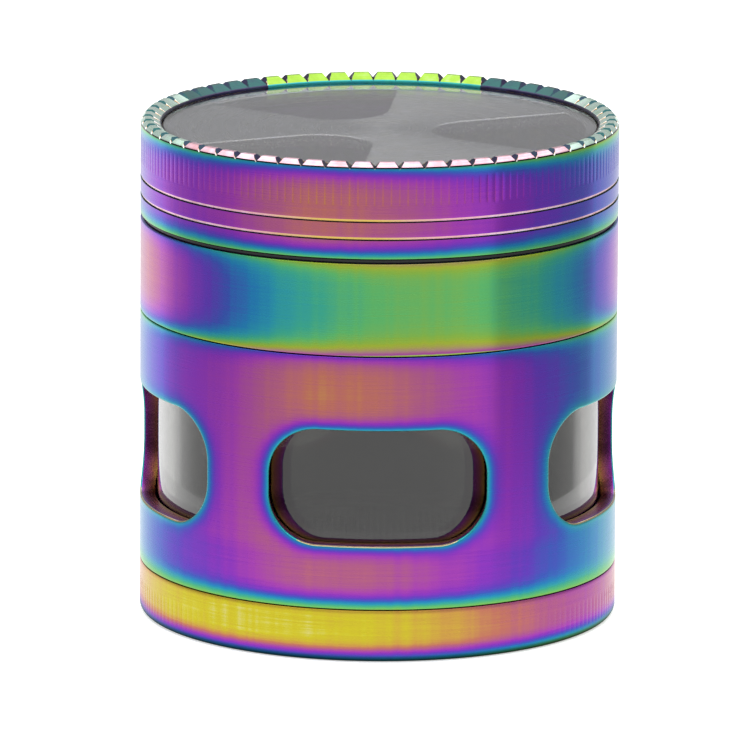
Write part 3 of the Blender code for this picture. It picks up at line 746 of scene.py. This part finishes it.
def lid_film(x, y, z):
    """Colour order on the lid: by azimuth on its wall, and rising at its edges.

    The reeds are a little lower, a painted highlight of their facets; each turned
    groove has a painted highlight over painted shade; and the web below the disc is
    bare silver.
    """
    radius = np.hypot(x, y)
    a = facing(x, y)
    wall = 2.5 + 3.3 * np.sin(a + math.radians(18)) ** 2
    wall += 0.9 * bell(a + math.radians(43), math.radians(16))
    wall += 4.5 * np.exp(-np.maximum(65.5 - z, 0) / 1.05)
    wall += (9.3 - wall) * np.exp(-((np.maximum(z - 53.55, 0) / 1.24) ** 1.33))
    # The reeds' colour is shifted a little, a painted highlight of their facets.
    reed = reed_offset(np.mod(notches_round(x, y) + 0.5, 1.0) - 0.5)
    wall -= 0.5 * np.clip(1 - reed / 0.05, 0, 1) * ((z > 60.6) & (z < 64.35))
    # Each groove: a painted highlight on its upper lip, pink to gold, over painted shade in its
    # hollow.
    groove_highlight = PINK_FILM + 0.95 * bell(a + math.radians(8), math.radians(17))
    for height in GROOVES:
        wall = np.where((z > height) & (z < height + 0.309), groove_highlight, wall)
        wall = np.where((z < height) & (z > height - 0.149), PAINTED_SHADE_FILM, wall)
    film = np.where(radius > 31.05, wall, inner_film(x, y, z))
    rim = ((z > NOTCH_FLOOR) & (radius < 31.499)) | ((z > 64.9) & (radius < 29))
    film = np.where(rim, rim_film(x, y, z), film)
    return np.where((radius < 28.71) & (z > 61.0) & (z < 64.6), 0.2, film)


def chamber_film(x, y, z):
    """Colour order on the chamber: green in front, towards blue at the sides."""
    a = facing(x, y) - math.radians(12)
    wall = 9.2 - 4.2 * np.sin(a) ** 2 - 2.2 * np.sin(a) ** 4
    wall += 5.6 * np.exp(-np.maximum(z - 40.72, 0) / 1.13)
    wall += 2.4 * np.exp(-np.maximum(52.95 - z, 0) / 0.95)
    return np.where(np.hypot(x, y) > 31.1, wall, inner_film(x, y, z))


def body_film(x, y, z):
    """Colour order on the body: rising at its ends and round each window.

    A window's lower edge has a fine painted highlight between two lines of painted
    shade, and its cut wall runs to gold inwards.
    """
    radius = np.hypot(x, y)
    a = facing(x, y)
    wall = 2.3 + 4.45 * np.sin(a + math.radians(10)) ** 2 + 0.5 * np.clip((15.5 - z) / 2, 0, 1)
    wall += 0.55 * bell(a + math.radians(39), math.radians(12))
    wall += 2.8 * np.exp(-np.maximum(40.6 - z, 0) / 0.8)
    wall += (9.5 - wall) * np.exp(-((np.maximum(z - 7.05, 0) / 1.44) ** 1.56))
    own = np.mod(a + np.pi / 5, TAU / 5) - np.pi / 5
    across = radius * np.sin(own)
    away = np.maximum(window_distance(across, z), 0)
    width = 0.95 + 0.15 * np.clip((np.abs(across) - 8.0) / 6.0, 0, 1)
    wall += (8.0 - wall) * np.exp(-((away / width) ** 1.3))
    sunk = np.sqrt(np.maximum(WALL**2 - across**2, 0)) - radius * np.cos(own)
    # The window's lower ledge: painted shade, then a painted highlight deeper round its rounded
    # edge.
    ledge = (z < 15.9) & (z > 15.4) & (away < 0.3)
    wall = np.where(ledge & (sunk > 0.03), PAINTED_SHADE_FILM, wall)
    wall = np.where(ledge & (sunk > 0.1), 15.6, wall)
    cut = 1.6 + 2.6 * np.clip((radius - BORE) / (WALL - BORE), 0, 1)
    inside = (window_distance(across, z) < 0.05) & (sunk > 0.3)
    film = np.where(radius > 31.1, wall, inner_film(x, y, z))
    return np.where(inside, cut, film)


def tray_film(x, y, z):
    """Colour order on the tray: yellow, running to violet round its heel."""
    a = facing(x, y)
    wall = 1.0 + 2.2 * np.sin(a + math.radians(30)) ** 4 + 6.5 * np.exp(-((z / 1.5) ** 2))
    wall += 0.5 * np.exp(-np.maximum(6.95 - z, 0) / 0.4)
    return np.where(np.hypot(x, y) > 30.3, wall, inner_film(x, y, z))


# -------------------------------------------------------------------- materials


def colour(code):
    """Linear colour, with alpha, of an sRGB hex code."""
    parts = [int(code[index : index + 2], 16) / 255 for index in (0, 2, 4)]
    return [c / 12.92 if c <= 0.04045 else ((c + 0.055) / 1.055) ** 2.4 for c in parts] + [1.0]


def node(tree, kind, links=None, **settings):
    """Adds a node, sets its properties or inputs by name, and links its inputs."""
    made = tree.nodes.new(kind)
    for name, value in settings.items():
        if hasattr(made, name):
            setattr(made, name, value)
        else:
            made.inputs[name.replace("_", " ")].default_value = value
    for name, source in (links or {}).items():
        tree.links.new(source, made.inputs[name])
    return made


def new_material(name):
    """A material with an empty Principled shader."""
    material = bpy.data.materials.new(name)
    material.use_nodes = True
    return material, material.node_tree, material.node_tree.nodes["Principled BSDF"]


def math_node(tree, operation, first, second=0.0):
    """Output of a Math node on two numbers or sockets."""
    made = node(tree, "ShaderNodeMath", operation=operation)
    for index, value in enumerate((first, second)):
        if isinstance(value, (int, float)):
            made.inputs[index].default_value = value
        else:
            tree.links.new(value, made.inputs[index])
    return made.outputs[0]


# Colours of the coating by order: silver, then gold, rose, violet, blue, teal,
# green, olive and rose again as the film thickens, and then painted reflections,
# painted highlights and painted shade for the rim, grooves and narrow edges.
FILM_LOW, FILM_HIGH = 0.0, 19.2
FILM_COLOURS = (
    (0.0, "f4f1ea"), (1.0, "c8be2a"), (1.7, "c69a45"),
    (2.3, "bc7060"), (3.0, "ac5a88"), (3.7, "a343ab"), (4.4, "8a38b8"), (5.2, "6440ba"),
    (6.0, "3f5ab8"), (6.8, "2a7fb8"), (7.5, "3098ac"), (8.2, "3fa88e"), (9.0, "5fb66c"),
    (9.8, "86b44a"), (10.5, "a0b23c"), (11.2, "a8a055"), (12.0, "a88a78"), (12.8, "aa6690"),
    (13.6, "a04797"), (14.3, "8fb63e"), (14.6, "9cc44c"), (15.2, "e0fff2"), (15.9, "ecc8d6"),
    (16.1, "e2acb8"), (16.8, "d6b860"), (17.2, "d6b860"), (17.5, "1a181e"), (18.1, "1a181e"),
    (18.6, "3c3456"), (19.2, "34605f"),
)


def turning_lines(tree, spacing):
    """Noise in rings: fine across the tool marks and slow along them.

    Its vector is (radius + slow x, slow y, height) over the spacing in metres.
    """
    place = node(tree, "ShaderNodeTexCoord").outputs["Object"]
    parts = node(tree, "ShaderNodeSeparateXYZ", {"Vector": place}).outputs
    square = math_node(tree, "ADD", math_node(tree, "MULTIPLY", parts[0], parts[0]),
                       math_node(tree, "MULTIPLY", parts[1], parts[1]))
    radius = math_node(tree, "MULTIPLY", math_node(tree, "SQRT", square), 1 / spacing)
    slow = 0.02 / spacing
    vector = node(tree, "ShaderNodeCombineXYZ", {
        "X": math_node(tree, "ADD", radius, math_node(tree, "MULTIPLY", parts[0], slow)),
        "Y": math_node(tree, "MULTIPLY", parts[1], slow),
        "Z": math_node(tree, "MULTIPLY", parts[2], 1 / spacing),
    })
    return node(tree, "ShaderNodeTexNoise", {"Vector": vector.outputs[0]}, Scale=1.0, Detail=2.0,
                Roughness=0.6).outputs["Fac"]


# Metres from one turning ring, and from one upright streak, to the next.
RING = 0.00022
STREAK = 0.0014


def coated_metal(name):
    """Turned zinc alloy under a vapour-deposited interference film.

    The eye sees a satin metal whose hue runs through the orders of the film's
    thickness, with fine rings from the lathe that smear light up and down only,
    and faint upright streaks 1.4 mm apart where the film is thicker.
    The real rings are 0.08 mm apart and are drawn at 0.22 mm so that they show.
    """
    material, tree, shader = new_material(name)
    order = node(tree, "ShaderNodeAttribute", attribute_name="film").outputs["Fac"]
    lines = turning_lines(tree, RING)
    place = node(tree, "ShaderNodeTexCoord").outputs["Object"]
    upright = node(tree, "ShaderNodeVectorMath", {0: place}, operation="MULTIPLY")
    upright.inputs[1].default_value = (1 / STREAK, 1 / STREAK, 0.02 / STREAK)
    streaks = node(tree, "ShaderNodeTexNoise", {"Vector": upright.outputs[0]}, Scale=1.0,
                   Detail=2.0).outputs["Fac"]
    ring_swing, streak_swing = 0.5, 0.7
    both = math_node(tree, "ADD", math_node(tree, "MULTIPLY", lines, ring_swing),
                     math_node(tree, "MULTIPLY", streaks, streak_swing))
    total = math_node(tree, "SUBTRACT", math_node(tree, "ADD", order, both),
                      (ring_swing + streak_swing) / 2)
    share = node(tree, "ShaderNodeMapRange", {"Value": total}, From_Min=FILM_LOW,
                 From_Max=FILM_HIGH)
    ramp = node(tree, "ShaderNodeValToRGB", {"Fac": share.outputs[0]})
    stops = ramp.color_ramp.elements
    for index, (place, code) in enumerate(FILM_COLOURS):
        at = (place - FILM_LOW) / (FILM_HIGH - FILM_LOW)
        stop = stops[index] if index < 2 else stops.new(at)
        stop.position = at
        stop.color = colour(code)
    tree.links.new(ramp.outputs["Color"], shader.inputs["Base Color"])
    rough = node(tree, "ShaderNodeMapRange", {"Value": lines}, To_Min=0.2, To_Max=0.32)
    tree.links.new(rough.outputs[0], shader.inputs["Roughness"])
    shader.inputs["Metallic"].default_value = 1.0
    shader.inputs["Anisotropic"].default_value = 0.9
    shader.inputs["Anisotropic Rotation"].default_value = 0.25
    tangent = node(tree, "ShaderNodeTangent", direction_type="RADIAL", axis="Z")
    tree.links.new(tangent.outputs[0], shader.inputs["Tangent"])
    bump = node(tree, "ShaderNodeBump", {"Height": lines}, Strength=0.06, Distance=0.00003)
    tree.links.new(bump.outputs[0], shader.inputs["Normal"])
    return material


def plain_metal(name, code, roughness, spacing):
    """Bare metal with faint marks of its rolling or grinding."""
    material, tree, shader = new_material(name)
    lines = turning_lines(tree, spacing)
    rough = node(tree, "ShaderNodeMapRange", {"Value": lines}, To_Min=roughness - 0.06,
                 To_Max=roughness + 0.06)
    tree.links.new(rough.outputs[0], shader.inputs["Roughness"])
    tint = node(tree, "ShaderNodeMix", {"Factor": lines}, data_type="RGBA")
    tint.inputs["A"].default_value = [c * 0.9 for c in colour(code)[:3]] + [1.0]
    tint.inputs["B"].default_value = colour(code)
    tree.links.new(tint.outputs["Result"], shader.inputs["Base Color"])
    shader.inputs["Metallic"].default_value = 1.0
    return material


def clear_sheet(name, code, roughness, refraction, coat):
    """Smoked clear plastic sheet, polished: dark within, with a sharp gloss.

    coat is the weight of a hard lacquer that adds to the gloss.
    """
    material, tree, shader = new_material(name)
    place = node(tree, "ShaderNodeTexCoord").outputs["Object"]
    haze = node(tree, "ShaderNodeTexNoise", {"Vector": place}, Scale=180.0, Detail=3.0)
    rough = node(tree, "ShaderNodeMapRange", {"Value": haze.outputs["Fac"]}, From_Min=0.3,
                 From_Max=0.7, To_Min=roughness * 0.5, To_Max=roughness * 1.5)
    tree.links.new(rough.outputs[0], shader.inputs["Roughness"])
    shader.inputs["Base Color"].default_value = colour(code)
    shader.inputs["Transmission Weight"].default_value = 1.0
    shader.inputs["IOR"].default_value = refraction
    shader.inputs["Coat Weight"].default_value = coat
    return material


def moulded(name, code, roughness, grain, strength):
    """Moulded plastic or rubber with the fine grain of its tool."""
    material, tree, shader = new_material(name)
    place = node(tree, "ShaderNodeTexCoord").outputs["Object"]
    noise = node(tree, "ShaderNodeTexNoise", {"Vector": place}, Scale=1 / grain, Detail=2.0)
    rough = node(tree, "ShaderNodeMapRange", {"Value": noise.outputs["Fac"]},
                 To_Min=roughness - 0.08, To_Max=roughness + 0.08)
    tree.links.new(rough.outputs[0], shader.inputs["Roughness"])
    shader.inputs["Base Color"].default_value = colour(code)
    bump = node(tree, "ShaderNodeBump", {"Height": noise.outputs["Fac"]}, Strength=strength,
                Distance=grain * 0.2)
    tree.links.new(bump.outputs[0], shader.inputs["Normal"])
    return material


coating = coated_metal("film_coated_turned_zinc")
steel = plain_metal("stainless_wire", "c4c4c0", 0.32, 0.0004)
nickel = plain_metal("nickel_plate", "d0ccc4", 0.2, 0.0005)
smoked = clear_sheet("smoked_cast_acrylic", "ccced8", 0.03, 1.49, 0.0)
liner_clear = clear_sheet("smoked_extruded_polycarbonate", "62625e", 0.05, 1.585, 0.7)
acetal = moulded("black_moulded_acetal", "141415", 0.42, 0.0003, 0.15)
scraper_plastic = moulded("black_moulded_polypropylene", "1b1b1d", 0.5, 0.0005, 0.25)
rubber = moulded("black_silicone", "26262a", 0.68, 0.0004, 0.3)

make_piece("lid_metal", lid_shape(), coating, "lid", lid_film)
make_piece("lid_disc", disc_shape(), smoked, "lid_window")
make_piece("lid_magnet_disc", magnet_shape(51.5), nickel, "lid_magnet")
make_piece("lid_slide_ring", friction_ring_shape(), acetal, "friction_ring")
make_piece("chamber_metal", chamber_shape(), coating, "grinding_chamber",
           chamber_film)
make_piece("chamber_magnet_disc", magnet_shape(48.5), nickel, "chamber_magnet")
make_piece("body_metal", body_shape(), coating, "window_body", body_film)
make_piece("liner_tube", liner_shape(9.8, 34.8, 0.2), liner_clear, "window_liner")
make_piece("liner_seal_low", liner_shape(9.1, 9.7, 0.15), rubber, "lower_liner_seal")
make_piece("liner_seal_high", liner_shape(34.9, 35.5, 0.15), rubber, "upper_liner_seal")
make_piece("sieve_weave", sieve_shape(), steel, "sieve_screen")
make_piece("sieve_ring", snap_ring_shape(), steel, "sieve_snap_ring")
make_piece("tray_metal", tray_shape(), coating, "tray", tray_film)
make_piece("tray_scraper", scraper_shape(), scraper_plastic, "scraper")

# ---------------------------------------------------------------- floor and light


def flat_disc(name, radius, height, material):
    """A stage disc round the axis."""
    shape = Shape()
    shape.grid(turned([(0.0, height), (radius, height)], even_angles(96)))
    points, faces = shape.welded()
    mesh = bpy.data.meshes.new(name)
    mesh.from_pydata((points * MM).tolist(), [], [list(dict.fromkeys(f)) for f in faces.tolist()])
    mesh.materials.append(material)
    disc = bpy.data.objects.new(name, mesh)
    bpy.context.scene.collection.objects.link(disc)
    return disc


def floor_paint():
    """Pale matt paper that glows a little, so that it stays nearly white."""
    material, _, shader = new_material("pale_paper")
    shader.inputs["Base Color"].default_value = colour("e8e8e8")
    shader.inputs["Roughness"].default_value = 0.9
    shader.inputs["Emission Color"].default_value = colour("ffffff")
    shader.inputs["Emission Strength"].default_value = 0.5
    return material


def near_paint():
    """What polished walls see of the paper close by: white, dark at the contact."""
    material = bpy.data.materials.new("paper_close_by")
    material.use_nodes = True
    tree = material.node_tree
    tree.nodes.clear()
    place = node(tree, "ShaderNodeTexCoord").outputs["Object"]
    flat = node(tree, "ShaderNodeVectorMath", {0: place}, operation="MULTIPLY")
    flat.inputs[1].default_value = (1, 1, 0)
    reach = node(tree, "ShaderNodeVectorMath", {0: flat.outputs[0]}, operation="LENGTH")
    # The glow stands in for the lit paper in reflections, and its fall to near black at the walls'
    # foot is a painted contact shadow.
    glow = node(tree, "ShaderNodeMapRange", {"Value": reach.outputs["Value"]}, From_Min=0.0312,
                From_Max=0.034, To_Min=0.05, To_Max=1.28)
    light = node(tree, "ShaderNodeEmission", {"Strength": glow.outputs[0]})
    node(tree, "ShaderNodeOutputMaterial", {"Surface": light.outputs[0]})
    return material


floor = flat_disc("floor", 2500.0, -0.02, floor_paint())
floor.visible_glossy = False
near = flat_disc("floor_close_by", 100.0, -0.01, near_paint())
for ray in ("camera", "diffuse", "transmission", "shadow", "volume_scatter"):
    setattr(near, "visible_" + ray, False)

# Strength of the light from below the horizon, by degrees from the front to the right.
AZIMUTH_LIGHT = (
    (-180, 1.35), (-165, 1.5), (-150, 1.75), (-128, 1.8), (-124, 1.4), (-112, 1.05), (-86, 0.88),
    (-40, 1.18), (30, 1.22), (50, 1.32), (56.5, 1.28), (59.5, 0.74), (122, 0.74), (127, 1.3),
    (150, 1.35), (180, 1.35),
)


def studio_light():
    """Light by direction: soft below the horizon, dim above it, bright at the top.

    Below the horizon the strength follows AZIMUTH_LIGHT, which dips at a dark flag
    on the right, and it is even again straight below.  Seen directly, the backdrop
    is plain white.
    """
    world = bpy.data.worlds.new("studio")
    bpy.context.scene.world = world
    world.use_nodes = True
    tree = world.node_tree
    tree.nodes.clear()
    way = node(tree, "ShaderNodeTexCoord").outputs["Generated"]
    parts = node(tree, "ShaderNodeSeparateXYZ", {"Vector": way}).outputs
    azimuth = math_node(tree, "ARCTAN2", parts[0], math_node(tree, "MULTIPLY", parts[1], -1.0))
    share = node(tree, "ShaderNodeMapRange", {"Value": azimuth}, From_Min=-math.pi,
                 From_Max=math.pi)
    ramp = node(tree, "ShaderNodeValToRGB", {"Fac": share.outputs[0]})
    stops = ramp.color_ramp.elements
    brightest = 2.0
    for index, (place, level) in enumerate(AZIMUTH_LIGHT):
        at = (place + 180) / 360
        stop = stops[index] if index < 2 else stops.new(at)
        stop.position = at
        stop.color = (level / brightest, level / brightest, level / brightest, 1)
    around = math_node(tree, "MULTIPLY", ramp.outputs["Color"], brightest)
    above = node(tree, "ShaderNodeMapRange", {"Value": parts[2]}, From_Min=0.4, From_Max=0.7,
                 To_Min=0.62, To_Max=2.4)
    upper = node(tree, "ShaderNodeMapRange", {"Value": parts[2]}, From_Min=-0.02, From_Max=0.03)
    level = node(tree, "ShaderNodeMix", {"Factor": upper.outputs[0], 2: around,
                                         3: above.outputs[0]})
    steep = node(tree, "ShaderNodeMapRange", {"Value": parts[2]}, From_Min=-0.5, From_Max=-0.75)
    level = node(tree, "ShaderNodeMix", {"Factor": steep.outputs[0], 2: level.outputs[0]})
    level.inputs[3].default_value = 1.8
    seen = node(tree, "ShaderNodeLightPath").outputs["Is Camera Ray"]
    level = node(tree, "ShaderNodeMix", {"Factor": seen, 2: level.outputs[0]})
    level.inputs[3].default_value = 1.0
    light = node(tree, "ShaderNodeBackground", {"Strength": level.outputs[0]})
    node(tree, "ShaderNodeOutputWorld", {"Surface": light.outputs[0]})


studio_light()


def place_camera():
    """A long lens in front and a little above."""
    data = bpy.data.cameras.new("camera")
    data.lens = 543.5
    data.sensor_width = 36.0
    data.clip_start, data.clip_end = 0.1, 20.0
    camera = bpy.data.objects.new("camera", data)
    bpy.context.scene.collection.objects.link(camera)
    camera.location = Vector((0.0, -1.4609, 0.3550))
    aim = Vector((-0.00046, 0.0, 0.03137)) - camera.location
    camera.rotation_mode = "QUATERNION"
    camera.rotation_quaternion = aim.to_track_quat("-Z", "Y") @ Quaternion((0, 0, 1), 0.005872)
    bpy.context.scene.camera = camera


place_camera()
bpy.context.scene.view_settings.view_transform = "Standard"
